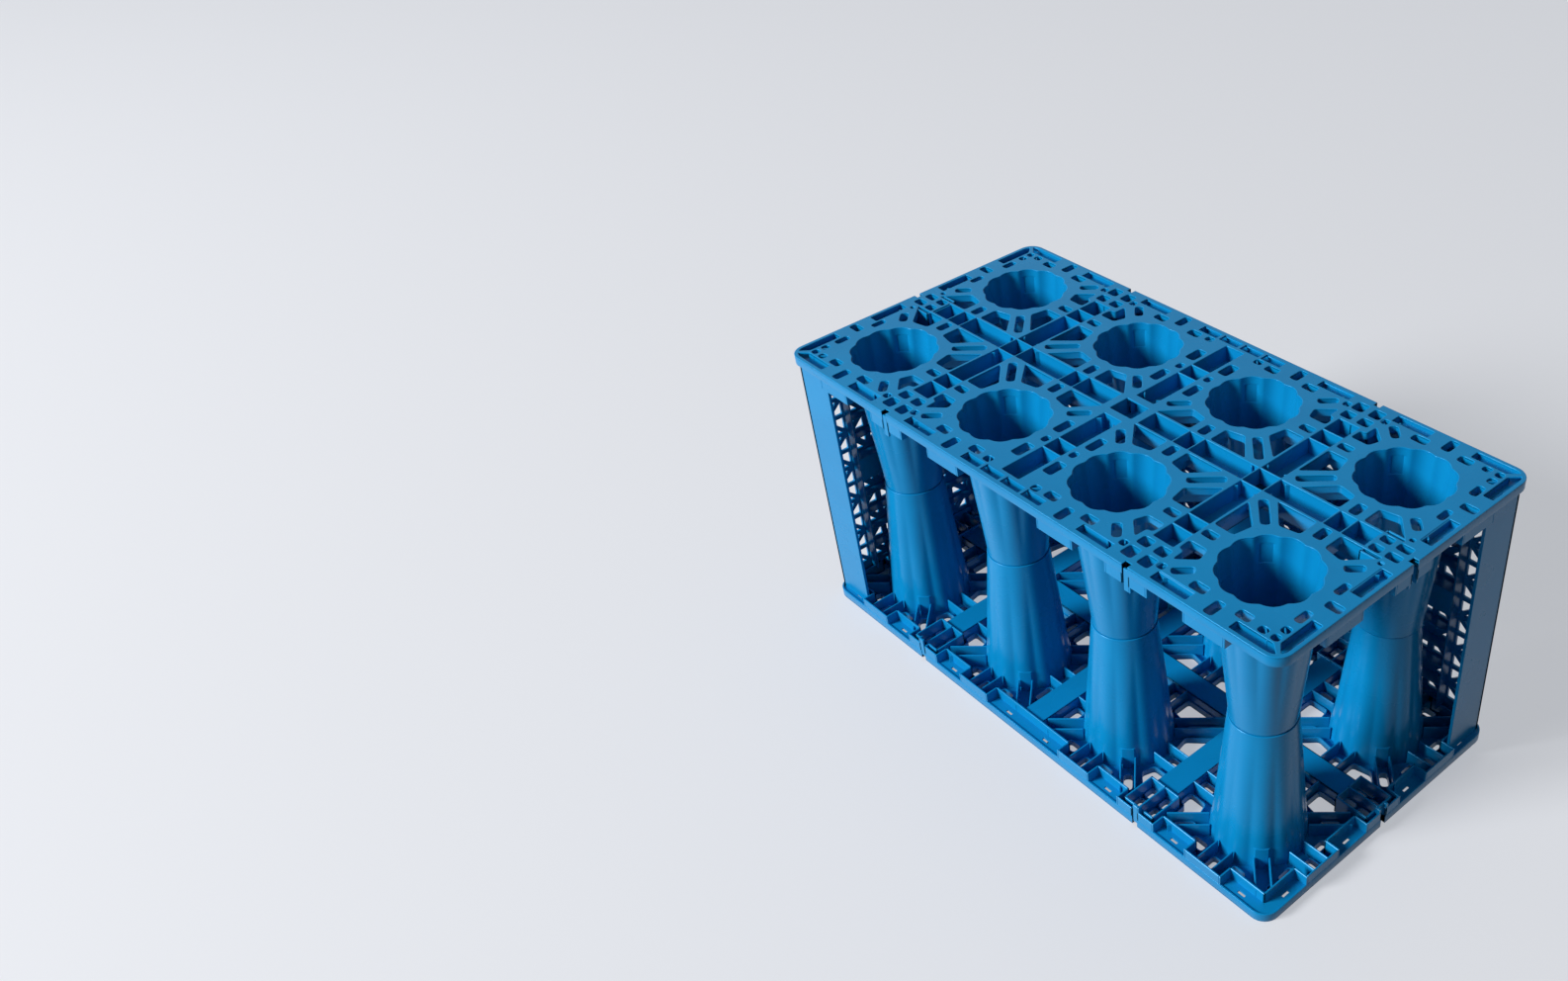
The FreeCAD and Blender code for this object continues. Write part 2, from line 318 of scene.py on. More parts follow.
class Shape:
    """Collects geometry in millimetres and turns it into one mesh."""

    def __init__(self):
        self.bm = bmesh.new()
        self.walls = bmesh.new()
        self.built = set()

    def plate(self, outline, holes, z0, z1, edge):
        """Flat plate with holes and rounded edges, as a filled 2D curve."""
        curve = bpy.data.curves.new("plate", "CURVE")
        curve.dimensions = "2D"
        curve.fill_mode = "BOTH"
        curve.extrude = (z1 - z0) / 2 - edge
        curve.bevel_depth = edge
        curve.bevel_resolution = BEVEL_STEPS
        curve.offset = -edge
        for points in [outline] + holes:
            spline = curve.splines.new("POLY")
            spline.points.add(len(points) - 1)
            for target, (x, y) in zip(spline.points, points):
                target.co = (x, y, 0, 1)
            spline.use_cyclic_u = True
        holder = bpy.data.objects.new("plate", curve)
        mesh = bpy.data.meshes.new_from_object(holder)
        mesh.transform(Matrix.Translation((0, 0, (z0 + z1) / 2)))
        self.bm.from_mesh(mesh)
        bpy.data.objects.remove(holder)
        bpy.data.curves.remove(curve)
        bpy.data.meshes.remove(mesh)

    def wall(self, outline, z0, z1):
        """Upright wall on an outline. A mirror image that falls on itself is left out."""
        key = (frozenset((round(x, 1), round(y, 1)) for x, y in outline), z0, z1)
        if key in self.built:
            return
        self.built.add(key)
        lower = [self.walls.verts.new((x, y, z0)) for x, y in outline]
        upper = [self.walls.verts.new((x, y, z1)) for x, y in outline]
        self.walls.faces.new(lower[::-1])
        self.walls.faces.new(upper)
        for k in range(len(outline)):
            n = (k + 1) % len(outline)
            self.walls.faces.new((lower[k], lower[n], upper[n], upper[k]))

    def walls_at(self, outlines, z0, z1):
        for outline in outlines:
            self.wall(outline, z0, z1)

    def skin(self, rings):
        """Closed skin through rings of points, the last joined to the first."""
        rows = [[self.bm.verts.new(point) for point in ring] for ring in rings]
        for lower, upper in zip(rows, rows[1:] + rows[:1]):
            for k in range(len(lower)):
                n = (k + 1) % len(lower)
                self.bm.faces.new((lower[k], lower[n], upper[n], upper[k]))

    def collar(self, outline, thick, z0, z1):
        """Upright wall of even thickness round an opening."""
        around = grown(outline, thick)
        corners = ((outline, z0), (outline, z1), (around, z1), (around, z0))
        self.skin([[(x, y, z) for x, y in points] for points, z in corners])

    def lathe(self, x, y, profile):
        """Closed skin through rings of (z, radius, flute depth, tab depth)."""
        rings = []
        for z, radius, depth, tab in profile:
            rings.append([(x + p, y + q, z) for p, q in wavy(radius, depth, tab)])
        self.skin(rings)

    def mesh(self, name):
        bmesh.ops.recalc_face_normals(self.walls, faces=self.walls.faces)
        edges = self.walls.edges[:]
        bmesh.ops.bevel(self.walls, geom=edges, offset=WALL_EDGE, segments=1, affect="EDGES")
        mesh = bpy.data.meshes.new(name)
        self.walls.to_mesh(mesh)
        self.bm.from_mesh(mesh)
        self.bm.to_mesh(mesh)
        mesh.transform(Matrix.Scale(MM, 4))
        for polygon in mesh.polygons:
            polygon.use_smooth = True
        mesh.set_sharp_from_angle(angle=SHARP_ANGLE)
        return mesh


# Material
def plastic():
    """Satin blue polypropylene with faint flow marks and a fine grain."""
    material = bpy.data.materials.new("blue_plastic")
    material.use_nodes = True
    nodes = material.node_tree.nodes
    links = material.node_tree.links
    shader = nodes["Principled BSDF"]
    coordinates = nodes.new("ShaderNodeTexCoord")
    cloud = nodes.new("ShaderNodeTexNoise")
    cloud.inputs["Scale"].default_value = 9.0
    cloud.inputs["Detail"].default_value = 5.0
    links.new(coordinates.outputs["Object"], cloud.inputs["Vector"])
    tint = nodes.new("ShaderNodeValToRGB")
    tint.color_ramp.elements[0].position = 0.32
    tint.color_ramp.elements[0].color = (0.002, 0.22, 0.5, 1)
    tint.color_ramp.elements[1].position = 0.7
    tint.color_ramp.elements[1].color = (0.003, 0.245, 0.545, 1)
    links.new(cloud.outputs["Fac"], tint.inputs["Fac"])
    links.new(tint.outputs["Color"], shader.inputs["Base Color"])
    shader.inputs["Specular IOR Level"].default_value = 0.42
    shader.inputs["Specular Tint"].default_value = (0.28, 0.66, 1.0, 1)
    sheen = nodes.new("ShaderNodeMapRange")
    sheen.inputs["To Min"].default_value = 0.22
    sheen.inputs["To Max"].default_value = 0.32
    links.new(cloud.outputs["Fac"], sheen.inputs["Value"])
    links.new(sheen.outputs["Result"], shader.inputs["Roughness"])
    grain = nodes.new("ShaderNodeTexNoise")
    grain.inputs["Scale"].default_value = 900.0
    grain.inputs["Detail"].default_value = 2.0
    links.new(coordinates.outputs["Object"], grain.inputs["Vector"])
    bump = nodes.new("ShaderNodeBump")
    bump.inputs["Strength"].default_value = 0.05
    bump.inputs["Distance"].default_value = 0.0004
    links.new(grain.outputs["Fac"], bump.inputs["Height"])
    links.new(bump.outputs["Normal"], shader.inputs["Normal"])
    return material


PLASTIC = plastic()


def place_piece(name, mesh, node, matrix):
    mesh = mesh.copy()
    mesh.name = name
    mesh.transform(matrix)
    if matrix.determinant() < 0:
        mesh.flip_normals()
    mesh.materials.append(PLASTIC)
    piece = bpy.data.objects.new(name, mesh)
    bpy.context.scene.collection.objects.link(piece)
    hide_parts(node)
    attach(piece, "root")


class Surround:
    """The deck round one column of the +X -Y quarter.

    Local a points toward the channel in the middle of the column's square, and
    local b toward the channel along the module.
    """

    def __init__(self, x):
        self.x = x
        self.inner = x < SQUARE_X
        self.toward = 1 if self.inner else -1

    def put(self, points):
        return [(self.x + self.toward * a, b - COLUMN_Y) for a, b in points]

    def diagonal(self, side_a, side_b, start, end, shift, thick):
        """Bar along a diagonal, from one distance to another and shifted sideways."""
        unit = math.sqrt(0.5)
        ends = [(side_a * (r - shift) * unit, side_b * (r + shift) * unit) for r in (start, end)]
        return self.put(bar(ends[0], ends[1], thick))

    def openings(self):
        shapes = [rect(*sides) for sides in STRAIGHT_OPENINGS]
        shapes += [WINDOW, flipped(WINDOW, -1, 1), [(b, a) for a, b in WINDOW], STEPPED_WINDOW]
        shapes += [rect(*sides) for sides in (INNER_OPENINGS if self.inner else OUTER_OPENINGS)]
        out = [soft(self.put(points), OPENING_ROUND) for points in shapes]
        for side_a, side_b, start, end in INNER_SLOTS if self.inner else OUTER_SLOTS:
            slot = self.diagonal(side_a, side_b, start, end, 0, SLOT_WIDTH)
            out.append(soft(slot, SLOT_ROUND))
        return out

    def ribs(self):
        """Outlines of the pairs of ribs that leave the column in eight directions."""
        reach = PITCH / 2 - HALF_CHANNEL
        back_b = HALF_W - COLUMN_Y - WALL
        back_a = self.x - HALF_CHANNEL if self.inner else HALF_L - self.x - WALL
        start = BASE_RADIUS - RIB_OVERLAP
        out = []
        for side in (-RIB_OFFSET, RIB_OFFSET):
            lines = [((side, start), (side, reach)), ((side, -start), (side, -back_b))]
            lines += [((start, side), (reach, side)), ((-start, side), (-back_a, side))]
            out += [self.put(bar(low, high, RIB)) for low, high in lines]
        ends = INNER_RIB_ENDS if self.inner else OUTER_RIB_ENDS
        for (side_a, side_b), end in ends.items():
            for shift in (-DIAGONAL_RIB_OFFSET, DIAGONAL_RIB_OFFSET):
                out.append(self.diagonal(side_a, side_b, start, end, shift, RIB))
        return out


# Edges, where u runs along the edge and d inward from it
def on_edge(along, u0, u1, d0, d1):
    """Rectangle given by its sides in u and in d, in the crate's x and y."""
    if along == "long":
        return rect(u0, -HALF_W + d0, u1, -HALF_W + d1)
    return rect(HALF_L - d1, -u1, HALF_L - d0, -u0)


def from_edge(along, points):
    """Points given as (u, d), in the crate's x and y."""
    if along == "long":
        return [(u, -HALF_W + d) for u, d in points]
    return [(HALF_L - d, -u) for u, d in points]


def blocked(along):
    """Runs of the edge without a pocket, at the columns and at the notch."""
    notch = EDGES[along]["notch"]
    runs = [(c - SEGMENT / 2, c + SEGMENT / 2) for c in EDGES[along]["centres"]]
    return sorted(runs + [(notch - NOTCH_ZONE / 2, notch + NOTCH_ZONE / 2)])


def pockets(along):
    """Runs of the edge with a pocket, the first one over the middle of a long edge."""
    runs = blocked(along)
    starts = [b for _, b in runs]
    ends = [a for a, _ in runs[1:]] + [EDGES[along]["end"]]
    out = list(zip(starts, ends))
    if along == "long":
        out.insert(0, (-runs[0][0], runs[0][0]))
    return out


def corner_curve(along, inset, turns):
    """Points on the rounded corner, at an inset from the edge and given turns in degrees."""
    centre = EDGES[along]["end"] - CORNER_RADIUS
    reach = CORNER_RADIUS - inset
    out = []
    for degrees in turns:
        turn = math.radians(degrees)
        out.append((centre + reach * math.sin(turn), CORNER_RADIUS - reach * math.cos(turn)))
    return out


def corner_tray(along, start):
    """Tray that follows the rounded corner up to the diagonal web."""
    end = EDGES[along]["end"]
    points = [(start, LEDGE_WIDTH), (start, TRAY_START), (end - CORNER_RADIUS, TRAY_START)]
    points += corner_curve(along, TRAY_START, TRAY_TURNS)
    points.append((end - POCKET - WALL, LEDGE_WIDTH))
    return from_edge(along, points)


def corner_ledge(along, start):
    """Half of the corner's ledge, up to the diagonal."""
    end = EDGES[along]["end"]
    points = [(start, POCKET), (start, EDGE_STEP), (end - CORNER_RADIUS, EDGE_STEP)]
    points += corner_curve(along, EDGE_STEP, LEDGE_TURNS)
    points.append((end - POCKET, POCKET))
    return from_edge(along, points)


def trays(along):
    """Openings in the skin over the pockets of one edge."""
    out = []
    for u0, u1 in pockets(along):
        if u0 < 0:
            pitch = (u1 - WALL / 2) / 2
            for low in (WALL / 2, WALL / 2 + pitch):
                out.append(on_edge(along, low, low + pitch - WALL, TRAY_START, TRAY_END))
        elif u1 == EDGES[along]["end"]:
            out.append(corner_tray(along, u0 + WALL))
        else:
            out.append(on_edge(along, u0 + WALL, u1 - WALL, TRAY_START, TRAY_END))
    return out


def cells_between(stops, half):
    """Spans between the cross walls that stand at the stops, with their half thickness."""
    return [(low + half, high - half) for low, high in zip(stops, stops[1:])]


def channel_cells():
    """Openings in the skin over the channels."""
    inside = HALF_CHANNEL
    half = CHANNEL_WALL / 2
    out = []
    stops = [inside + half] + CROSS_Y + [HALF_W - NOTCH_BOX_DEPTH - half]
    for low, high in cells_between(stops, half):
        out += copies(soft(rect(SQUARE_X - inside, -high, SQUARE_X + inside, -low), CELL_ROUND))
    stops = [MIDDLE_CELLS - half] + CROSS_Y + [HALF_W - MIDDLE_MARGIN - half]
    for low, high in cells_between(stops, half):
        out += copies(soft(rect(-inside, -high, inside, -low), CELL_ROUND), in_x=False)
    stops = [LONG_CELLS - half] + CROSS_X + [HALF_L - NOTCH_BOX_DEPTH + half]
    stops += [SQUARE_X - inside - half, SQUARE_X + inside + half]
    for low, high in cells_between(sorted(stops), half):
        out += copies(soft(rect(low, -inside, high, inside), CELL_ROUND), in_y=False)
    out.append(soft(rect(-CENTRE_CELL, -inside, CENTRE_CELL, inside), CELL_ROUND))
    return out


def notch_holes():
    """Four small holes behind each edge notch."""
    out = []
    for d0, d1 in NOTCH_HOLE_ROWS:
        for side in (-1, 1):
            for along, (near, far) in NOTCH_HOLE_SIDES.items():
                notch = EDGES[along]["notch"]
                low, high = sorted((notch + side * near, notch + side * far))
                hole = soft(on_edge(along, low, high, d0, d1), NOTCH_HOLE_ROUND)
                out += copies(hole, in_y=along == "long")
    return out


def deck_outline(inset=0.0):
    """Rounded rectangle with a notch in the edge at each notch place."""
    radius = CORNER_RADIUS - inset
    end_x = HALF_L - inset
    end_y = HALF_W - inset
    corner = []
    for k in range(CORNER_STEPS + 1):
        turn = math.pi / 2 * k / CORNER_STEPS
        x = end_x - radius + radius * math.cos(turn)
        y = end_y - radius + radius * math.sin(turn)
        corner.append((x, y))
    half = NOTCH_WIDTH / 2 + inset
    side = [(end_x - NOTCH_DEPTH, half), (end_x, half)]
    top = [(SQUARE_X + half, end_y), (SQUARE_X + half, end_y - NOTCH_DEPTH)]
    top += [(SQUARE_X - half, end_y - NOTCH_DEPTH), (SQUARE_X - half, end_y)]
    quarter = side + corner + top
    upper = quarter + flipped(reversed(quarter), -1, 1)
    return upper + flipped(upper, -1, -1)


def notch_walls(along):
    """Cheeks of the notch, and the box behind it with its middle web."""
    notch = EDGES[along]["notch"]
    gap = NOTCH_WIDTH / 2
    half = NOTCH_BOX / 2
    out = []
    for u in (notch - gap - WALL, notch + gap):
        out.append(on_edge(along, u, u + WALL, EDGE_STEP, NOTCH_DEPTH))
    for u in (notch - half, notch - WALL / 2, notch + half - WALL):
        out.append(on_edge(along, u, u + WALL, NOTCH_DEPTH, NOTCH_BOX_DEPTH))
    for d in (NOTCH_BOX_DEPTH - WALL, NOTCH_DEPTH):
        out.append(on_edge(along, notch - half, notch + half, d, d + WALL))
    return out


def edge_walls(shape):
    """Walls at the edge, parted at the notch, and round the pockets and notches."""
    for along, edge in EDGES.items():
        notch = edge["notch"]
        gap = NOTCH_WIDTH / 2
        high = []
        for a, b in blocked(along):
            parts = [(a, notch - gap), (notch + gap, b)] if a < notch < b else [(a, b)]
            high += [on_edge(along, low, stop, EDGE_STEP, WALL) for low, stop in parts]
        for u0, u1 in pockets(along):
            stop = u1 - LEDGE_WIDTH if u1 == edge["end"] else u1
            high.append(on_edge(along, u0, stop, LEDGE_WIDTH, POCKET))
            if u0 > 0:
                high.append(on_edge(along, u0, u0 + WALL, EDGE_STEP, POCKET))
            if u1 < edge["end"]:
                high.append(on_edge(along, u1 - WALL, u1, EDGE_STEP, POCKET))
        for outline in high + notch_walls(along):
            shape.walls_at(copies(outline), WALL_START, WALL_DEPTH)


def ledges(shape):
    """Floors of the edge pockets, each with its small slot."""
    for along, edge in EDGES.items():
        for u0, u1 in pockets(along):
            over_middle = u0 < 0
            at_corner = u1 == edge["end"]
            outline = on_edge(along, u0, u1, EDGE_STEP, POCKET)
            if at_corner:
                outline = corner_ledge(along, u0)
            start = max(u0, 0)
            stop = u1 - LEDGE_WIDTH if at_corner else u1
            low = (start + stop) / 2 - LEDGE_SLOT_LENGTH / 2
            slot = on_edge(along, low, low + LEDGE_SLOT_LENGTH, LEDGE_SLOT_START, LEDGE_SLOT_END)
            slots = copies(soft(slot, LEDGE_SLOT_ROUND), in_x=over_middle, in_y=False)
            for x_sign in [1] if over_middle else [1, -1]:
                for y_sign in (1, -1):
                    turned = flipped(outline, x_sign, y_sign)
                    cut = [flipped(one, x_sign, y_sign) for one in slots]
                    shape.plate(turned, cut, LEDGE_DEPTH - LEDGE_FLOOR, LEDGE_DEPTH, LEDGE_EDGE)


def outer_rim(shape):
    """Thin wall all round, from the skin to just past the ledge."""
    end = LEDGE_DEPTH + RIM_PAST_LEDGE
    shape.plate(deck_outline(), [deck_outline(WALL)], RIM_START, end, RIM_EDGE)


def edge_clips(shape):
    """Tongues and catches at the notches of the long edges, and forks at those of the short ones."""
    for along, (u0, u1), (d0, d1), (z0, z1) in CLIPS:
        notch = EDGES[along]["notch"]
        shape.walls_at(copies(on_edge(along, notch + u0, notch + u1, d0, d1)), z0, z1)


def channels(shape):
    """Floors, sides and cross walls of the channels."""
    inside = HALF_CHANNEL
    edge = inside + CHANNEL_WALL
    half = CHANNEL_WALL / 2
    end_x = HALF_L - NOTCH_BOX_DEPTH
    end_y = HALF_W - NOTCH_BOX_DEPTH
    middle = HALF_W - MIDDLE_MARGIN
    floor_start = RIB_DEPTH - CHANNEL_FLOOR
    shape.wall(rect(-end_x, -edge, end_x, edge), floor_start, RIB_DEPTH)
    for x in (-SQUARE_X, SQUARE_X):
        shape.wall(rect(x - edge, -end_y, x + edge, end_y), floor_start, RIB_DEPTH + FLOOR_STEP)
    shape.wall(rect(-edge, -middle, edge, middle), floor_start, RIB_DEPTH + 2 * FLOOR_STEP)
    sides = [
        rect(inside, -edge, SQUARE_X - inside, -inside),
        rect(SQUARE_X + inside, -edge, end_x, -inside),
        rect(SQUARE_X - edge, -end_y, SQUARE_X - inside, -inside),
        rect(SQUARE_X + inside, -end_y, SQUARE_X + edge, -inside),
        rect(inside, -middle, edge, -inside),
    ]
    for outline in sides:
        shape.walls_at(copies(outline), IN_SKIN, RIB_DEPTH)
    across = []
    for y in [inside + half] + CROSS_Y:
        across += copies(rect(SQUARE_X - inside, -y - half, SQUARE_X + inside, -y + half))
    for y in [MIDDLE_CELLS - half] + CROSS_Y + [middle - half]:
        across += copies(rect(-inside, -y - half, inside, -y + half), in_x=False)
    beside_centre = [CENTRE_CELL + half, LONG_CELLS - half]
    beside_square = [SQUARE_X - inside - half, SQUARE_X + inside + half, end_x - half]
    for x in beside_centre + beside_square + CROSS_X:
        across += copies(rect(x - half, -inside, x + half, inside), in_y=False)
    shape.walls_at(across, IN_SKIN, CROSS_DEPTH)


# Columns
def column_side(base, neck, top):
    """Rings up one side of a column, with the tabs between two of the levels."""
    levels = [COLUMN_START, TAB_START, TAB_START + TAB_SLOPE, TAB_END - TAB_SLOPE, TAB_END]
    levels += [TAB_END + (top - TAB_END) * k / COLUMN_STEPS for k in range(1, COLUMN_STEPS + 1)]
    rings = []
    for z in levels:
        t = z / HALF_H
        tab = TAB_DEPTH if TAB_START < z < TAB_END else 0.0
        rings.append((z, base + (neck - base) * t, FLUTE_DEPTH * max(0, 1 - t), tab))
    return rings


def spigot_rings():
    """Column that ends in a spigot: its inside, its end, and back down its outside."""
    end = HALF_H + SPIGOT_LENGTH
    spigot = SOCKET_RADIUS - COLUMN_WALL - SPIGOT_CLEARANCE
    seam = HALF_H - SEAM_GROOVE
    bore = column_side(BASE_RADIUS - COLUMN_WALL, NECK_RADIUS - COLUMN_WALL - SPIGOT_THICKER, end)
    outside = column_side(BASE_RADIUS, NECK_RADIUS, seam)
    return bore + [(end, spigot, 0, 0), (seam, spigot, 0, 0)] + outside[::-1]


def socket_rings():
    """Column that ends in a socket, in the same order."""
    bore = column_side(BASE_RADIUS - COLUMN_WALL, SOCKET_RADIUS - COLUMN_WALL, HALF_H)
    outside = column_side(BASE_RADIUS, SOCKET_RADIUS, HALF_H - SOCKET_CHAMFER)
    return bore + [(HALF_H, SOCKET_RADIUS - SOCKET_CHAMFER, 0, 0)] + outside[::-1]


def moulding():
    """One moulding with its outer face down on z = 0."""
    shape = Shape()
    surrounds = [Surround(x) for x in COLUMN_X]
    openings = []
    for one in surrounds:
        for opening in one.openings():
            openings += copies(opening)
        for rib in one.ribs():
            shape.walls_at(copies(rib), IN_SKIN, RIB_DEPTH)
    for outline in notch_holes() + openings:
        shape.collar(outline, COLLAR, IN_SKIN, COLLAR_DEPTH)
    holes = channel_cells() + notch_holes()
    for along in EDGES:
        for tray in trays(along):
            holes += copies(soft(tray, TRAY_ROUND))
    holes += openings
    mouth = BASE_RADIUS - COLUMN_WALL + MOUTH_GAP
    for x in (-COLUMN_X[1], -COLUMN_X[0], COLUMN_X[0], COLUMN_X[1]):
        for y, rings in ((-COLUMN_Y, socket_rings()), (COLUMN_Y, spigot_rings())):
            holes.append([(x + p, y + q) for p, q in wavy(mouth, FLUTE_DEPTH)])
            shape.lathe(x, y, rings)
    shape.plate(deck_outline(), holes, 0, SKIN, SOFT_EDGE)
    outer_rim(shape)
    edge_clips(shape)
    edge_walls(shape)
    ledges(shape)
    channels(shape)
    return shape.mesh("moulding")


def mouldings():
    """The lower moulding, and the same one turned over on top of it."""
    half = moulding()
    over = Matrix.Translation((0, 0, HEIGHT * MM)) @ Matrix.Rotation(math.pi, 4, "X")
    place_piece("lower_moulding", half, "lower_half", Matrix.Identity(4))
    place_piece("upper_moulding", half, "upper_half", over)


# Side panels: a plate with rails, a row of slots by the flange and a lattice
def lattice(x0, x1, z0, z1, first, bar_width):
    """Triangles between two posts, left open by a zigzag brace and its cross bars.

    An odd value of first starts the zigzag from the other post.
    """
    out = []
    count = round((z1 - z0) / NODE_STEP)
    step = (z1 - z0) / count
    for k in range(count):
        low = z0 + k * step
        high = low + step
        near, far = (x0, x1) if (k + first) % 2 else (x1, x0)
        out.append([(near, low), (far, low), (near, high)])
        out.append([(far, low), (far, high), (near, high)])
    return [grown(one, -bar_width / 2) for one in out]


def panel_outline(along, u0, u1):
    """Outline that reaches into the edge pockets and steps over what parts them."""
    edge = []
    runs = pockets(along)
    for start, end in sorted(set(runs + [(-b, -a) for a, b in runs])):
        low = max(start + WALL + FIT, u0)
        high = min(end - WALL - FIT, u1)
        if low < high:
            if low > u0:
                edge.append((low, PANEL_LIFT))
            edge += [(low, LEDGE_DEPTH), (high, LEDGE_DEPTH)]
            if high < u1:
                edge.append((high, PANEL_LIFT))
    return edge + [(u, HEIGHT - z) for u, z in reversed(edge)]


def panel_holes(posts, slot_u):
    """Full-height lattice column, row of slots, and the bays above and below the middle rail."""
    holes = lattice(*sorted(posts[:2]), PANEL_BOTTOM, PANEL_TOP, 0, BAR)
    height = PANEL_TOP - PANEL_BOTTOM
    count = round(height / STRIP_SLOT_STEP)
    half_width = STRIP_SLOT_WIDTH / 2
    half_length = STRIP_SLOT_LENGTH / 2
    for k in range(count):
        z = PANEL_BOTTOM + height * (k + 0.5) / count
        holes.append(rect(slot_u - half_width, z - half_length, slot_u + half_width, z + half_length))
    for k, sides in enumerate(zip(posts[1:], posts[2:])):
        for z0, z1 in PANEL_BAYS:
            holes += lattice(min(sides), max(sides), z0, z1, k, DEEP_BAR)
    return [soft(one, PANEL_HOLE_ROUND) for one in holes]


def panel_ribs(shape, posts, end):
    """Post ribs, and the cross ribs and box rails from the second post to the given end."""
    low, high = sorted((posts[1], end))
    half = POST_RIB / 2
    top = HEIGHT - PANEL_LIFT
    for u, depth in zip(posts, (LIP_DEPTH, POST_DEPTH)):
        shape.wall(rect(u - half, PANEL_LIFT, u + half, top), POST_RIB_START, depth)
    for u in posts[3::2]:
        if low < u < high:
            outline = rect(u - half, PANEL_LIFT, u + half, top - INNER_POST_DROP)
            shape.wall(outline, POST_RIB_START, INNER_POST_DEPTH)
    half = CROSS_RIB / 2
    for z0, z1 in PANEL_BAYS:
        count = round((z1 - z0) / NODE_STEP)
        for k in range(1, count):
            z = z0 + (z1 - z0) * k / count
            shape.wall(rect(low, z - half, high, z + half), CROSS_RIB_START, CROSS_RIB_DEPTH)
    (_, mid_low), (mid_high, top_low) = PANEL_BAYS
    shape.wall(rect(low, mid_low, high, mid_high), RAIL_START, RAIL_DEPTH)
    shape.wall(rect(low, top_low, high, top - RAIL_DROP), RAIL_START, RAIL_DEPTH)
    shape.wall(rect(low, PANEL_LIFT, high, PANEL_BOTTOM), RAIL_START, LIP_DEPTH)


def panel(along, u0, u1, flange_at, flange_width, clear=0.0):
    """Panel in its own frame: u along, height up, depth inward from 0.

    The end away from the flange has no deep ribs over the length given as clear.
    """
    shape = Shape()
    inward = 1 if flange_at == u0 else -1
    slot_u = flange_at + inward * (PANEL_PLATE + STRIP / 2)
    first_post = flange_at + inward * (PANEL_PLATE + STRIP)
    last_post = u1 - STRIP if inward > 0 else u0 + STRIP
    bays = round(abs(last_post - first_post) / BAY)
    posts = [first_post + (last_post - first_post) * k / bays for k in range(bays + 1)]
    shape.plate(panel_outline(along, u0, u1), panel_holes(posts, slot_u), 0, PANEL_PLATE, PANEL_EDGE)
    panel_ribs(shape, posts, last_post - inward * clear)
    low, high = sorted((flange_at, flange_at + inward * PANEL_PLATE))
    shape.wall(rect(low, LEDGE_DEPTH, high, HEIGHT - LEDGE_DEPTH), 0, flange_width)
    return shape.mesh("panel")


def upright(reach):
    """Stands a panel that was drawn flat up on the -Y side, reach from the middle."""
    return Matrix(((1, 0, 0, 0), (0, 0, 1, (INSET - reach) * MM), (0, 1, 0, 0), (0, 0, 0, 1)))


def side_panels():
    """One panel in the -X end and two in the +Y back."""
    end_reach = HALF_W - INSET
    back_reach = HALF_L - INSET
    left_reach = back_reach - PANEL_PLATE - FLANGE_GAP
    quarter_turn = Matrix.Rotation(-math.pi / 2, 4, "Z") @ upright(HALF_L)
    half_turn = Matrix.Rotation(math.pi, 4, "Z") @ upright(HALF_W)
    end = panel("short", -end_reach, end_reach, end_reach, FLANGE, HIDDEN_FLANGE)
    place_piece("end_panel_lattice", end, "end_panel", quarter_turn)
    left = panel("long", MIDDLE_GAP, left_reach, left_reach, HIDDEN_FLANGE)
    place_piece("back_panel_left_lattice", left, "back_panel_left", half_turn)
    right = panel("long", -back_reach, -MIDDLE_GAP, -back_reach, FLANGE)
    place_piece("back_panel_right_lattice", right, "back_panel_right", half_turn)


# Camera, floor, backdrop and lamps
def camera():
    """Camera from the corners and column centres of the upper deck in the photograph."""
    frame_width = 1586
    frame_height = 992
    centre_x = 1110
    centre_y = 560
    focal_pixels = 1390.31
    azimuth = math.radians(49.04)
    elevation = math.radians(38.66)
    roll = math.radians(-3.19)
    offset = Vector((66.93, 22.42, -2526.35)) * MM
    level = Vector((math.cos(azimuth), math.sin(azimuth), 0))
    away = Vector((math.sin(azimuth), -math.cos(azimuth), 0))
    back = away * math.cos(elevation) + Vector((0, 0, math.sin(elevation)))
    rise = back.cross(level)
    right = math.cos(roll) * level + math.sin(roll) * rise
    up = -math.sin(roll) * level + math.cos(roll) * rise
    turn = Matrix((right, up, back)).transposed()
    data = bpy.data.cameras.new("camera")
    data.sensor_width = 36.0
    data.lens = focal_pixels * data.sensor_width / frame_width
    data.shift_x = (frame_width / 2 - centre_x) / frame_width
    data.shift_y = (centre_y - frame_height / 2) / frame_width
    data.clip_end = 100.0
    eye = bpy.data.objects.new("camera", data)
    place = Vector((0, 0, HALF_H * MM)) - turn @ offset
    eye.matrix_world = Matrix.Translation(place) @ turn.to_4x4()
    bpy.context.scene.collection.objects.link(eye)
    bpy.context.scene.camera = eye


def seen_rays(tree):
    """Socket that is 1 for what the camera sees, directly, in gloss or through glass."""
    rays = tree.nodes.new("ShaderNodeLightPath")
    seen = rays.outputs["Is Camera Ray"]
    for kind in ("Is Glossy Ray", "Is Transmission Ray"):
        either = tree.nodes.new("ShaderNodeMath")
        either.operation = "MAXIMUM"
        tree.links.new(seen, either.inputs[0])
        tree.links.new(rays.outputs[kind], either.inputs[1])
        seen = either.outputs["Value"]
    return seen


def mix_by_rays(tree, lighting, shown, output):
    """One shader for the light that the object gets, and another for what is seen."""
    mix = tree.nodes.new("ShaderNodeMixShader")
    tree.links.new(seen_rays(tree), mix.inputs["Fac"])
    tree.links.new(lighting.outputs[0], mix.inputs[1])
    tree.links.new(shown.outputs[0], mix.inputs[2])
    tree.links.new(mix.outputs["Shader"], tree.nodes[output].inputs["Surface"])


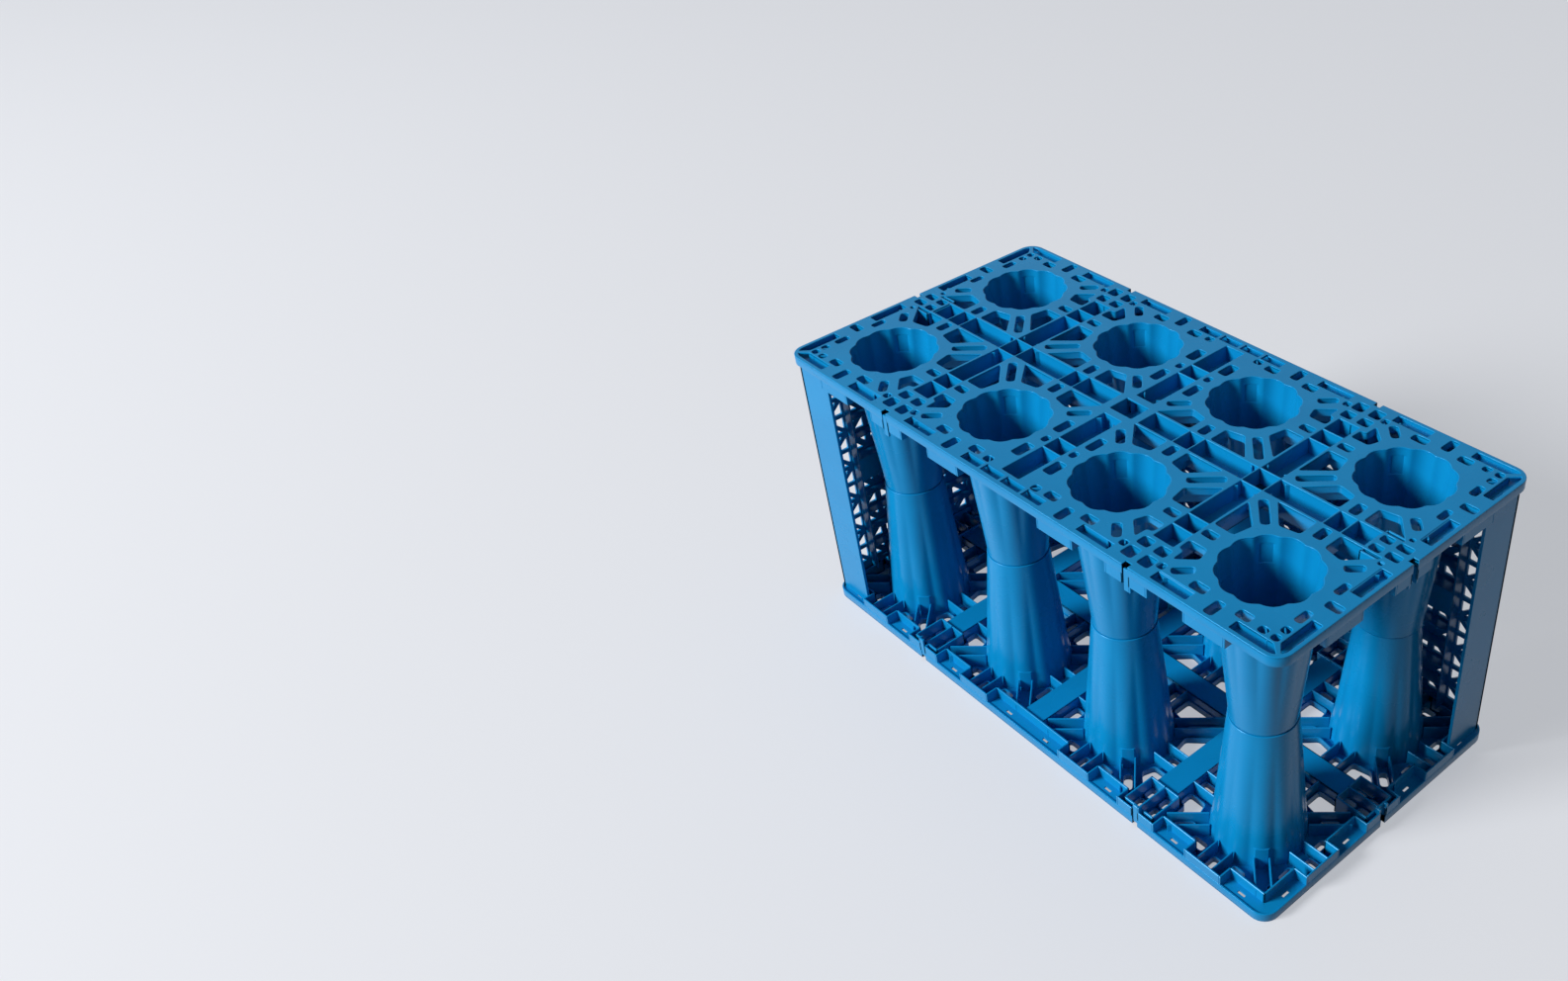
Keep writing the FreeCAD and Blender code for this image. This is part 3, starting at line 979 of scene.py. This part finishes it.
def floor():
    """Plain pale floor that keeps the object's shadow."""
    reach = 14.0
    corners = [(x, y, 0) for x, y in rect(-reach, -reach, reach, reach)]
    mesh = bpy.data.meshes.new("floor")
    mesh.from_pydata(corners, [], [(0, 1, 2, 3)])
    material = bpy.data.materials.new("floor")
    material.use_nodes = True
    nodes = material.node_tree.nodes
    shown = nodes["Principled BSDF"]
    shown.inputs["Base Color"].default_value = (0.34, 0.345, 0.36, 1)
    shown.inputs["Emission Color"].default_value = (0.425, 0.438, 0.465, 1)
    shown.inputs["Emission Strength"].default_value = 1.0
    shown.inputs["Roughness"].default_value = 0.6
    bounce = nodes.new("ShaderNodeBsdfDiffuse")
    bounce.inputs["Color"].default_value = (0.24, 0.25, 0.27, 1)
    mix_by_rays(material.node_tree, bounce, shown, "Material Output")
    mesh.materials.append(material)
    piece = bpy.data.objects.new("floor", mesh)
    bpy.context.scene.collection.objects.link(piece)


def backdrop():
    """World that lights faintly, and is pale where it is seen."""
    world = bpy.data.worlds.new("world")
    world.use_nodes = True
    nodes = world.node_tree.nodes
    light = nodes["Background"]
    light.inputs["Color"].default_value = (0.8, 0.85, 0.92, 1)
    light.inputs["Strength"].default_value = 0.07
    pale = nodes.new("ShaderNodeBackground")
    pale.inputs["Color"].default_value = (0.55, 0.565, 0.6, 1)
    mix_by_rays(world.node_tree, light, pale, "World Output")
    bpy.context.scene.world = world


def lamp(name, place, size, watts):
    """Round soft lamp that points at the middle of the object."""
    data = bpy.data.lights.new(name, "AREA")
    data.shape = "DISK"
    data.size = size
    data.energy = watts
    middle = Vector((0, 0, 0.3))
    away = Vector(place) - middle
    piece = bpy.data.objects.new(name, data)
    turn = away.to_track_quat("Z", "Y").to_matrix().to_4x4()
    piece.matrix_world = Matrix.Translation(place) @ turn
    bpy.context.scene.collection.objects.link(piece)


mouldings()
side_panels()
camera()
floor()
lamp("key", (-4.2, -10.5, 6.6), 4.6, 2280)
lamp("over", (0.0, 2.0, 9.0), 6.0, 50)
lamp("fill", (6.0, -2.0, 2.5), 4.0, 18)
backdrop()
bpy.context.scene.view_settings.view_transform = "Standard"
